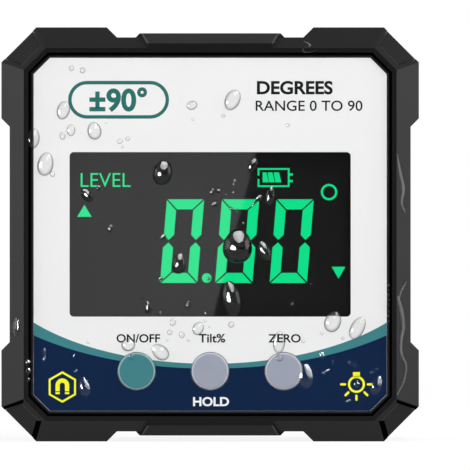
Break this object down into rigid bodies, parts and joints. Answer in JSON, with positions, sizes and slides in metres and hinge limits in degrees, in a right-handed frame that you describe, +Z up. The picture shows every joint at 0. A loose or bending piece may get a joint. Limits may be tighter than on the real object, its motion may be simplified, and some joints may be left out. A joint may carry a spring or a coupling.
{
  "type": "digital angle gauge",
  "caption": "Square pocket digital angle gauge: black impact frame with magnetic grooved base, wide display window and a row of round push buttons.",
  "frame": {"origin": "middle of the footprint, on the surface that the feet of the base stand on", "axes": "+X to the right of the face, +Y from the face towards the battery door, +Z up"},
  "size_m": [0.061, 0.028, 0.0605],
  "materials": {
    "frame_black": "fine moulded texture, satin",
    "case_black": "fine moulded texture",
    "film_print": "printed film, semi-gloss",
    "lens_clear": "clear polished",
    "display_dark": "dark negative display glass",
    "holder_white": "white moulded",
    "guide_clear": "clear with frosted back",
    "lamp_white": "white lamp body",
    "rubber_black": "matt rubber",
    "board_green": "solder mask",
    "chip_black": "moulded chip body",
    "switch_black": "moulded switch body",
    "plunger_white": "moulded",
    "button_teal": "satin",
    "button_grey": "satin",
    "steel": "plated steel",
    "magnet_nickel": "nickel plated",
    "cell_sleeve": "plain printed sleeve"
  },
  "bodies": {
    "gauge": {"housing_frame": "frame_black", "front_cover": "case_black", "rear_cover": "case_black", "battery_door": "case_black", "front_seal": "rubber_black", "rear_seal": "rubber_black", "door_seal": "rubber_black", "face_overlay": "film_print", "display_window": "lens_clear", "lcd_glass": "display_dark", "lcd_holder": "holder_white", "light_guide": "guide_clear", "backlight_led": "lamp_white", "zebra_strip_top": "rubber_black", "zebra_strip_bottom": "rubber_black", "main_board": "board_green", "control_chip": "chip_black", "sensor_chip": "chip_black", "crystal": "steel", "switch_on_off": "switch_black", "switch_hold": "switch_black", "switch_zero": "switch_black", "board_screw_1": "steel", "board_screw_2": "steel", "board_screw_3": "steel", "board_screw_4": "steel", "case_screw_1": "steel", "case_screw_2": "steel", "case_screw_3": "steel", "case_screw_4": "steel", "door_screw_1": "steel", "door_screw_2": "steel", "battery_upper": "cell_sleeve", "battery_lower": "cell_sleeve", "spring_upper": "steel", "spring_lower": "steel", "contact_bridge": "steel", "contact_positive": "steel", "contact_negative": "steel", "base_magnet_1": "magnet_nickel", "base_magnet_2": "magnet_nickel", "base_magnet_3": "magnet_nickel", "base_magnet_4": "magnet_nickel"},
    "on_off_key": {"button_on_off": "button_teal", "plunger_on_off": "plunger_white"},
    "hold_key": {"button_hold": "button_grey", "plunger_hold": "plunger_white"},
    "zero_key": {"button_zero": "button_grey", "plunger_zero": "plunger_white"}
  },
  "joints": [
    {"name": "on_off_press", "type": "slide", "parent": "gauge", "child": "on_off_key", "axis": [0, 1, 0], "range_m": [0, 0.0004], "stiffness_N_per_m": 800},
    {"name": "hold_press", "type": "slide", "parent": "gauge", "child": "hold_key", "axis": [0, 1, 0], "range_m": [0, 0.0004], "stiffness_N_per_m": 800},
    {"name": "zero_press", "type": "slide", "parent": "gauge", "child": "zero_key", "axis": [0, 1, 0], "range_m": [0, 0.0004], "stiffness_N_per_m": 800}
  ]
}
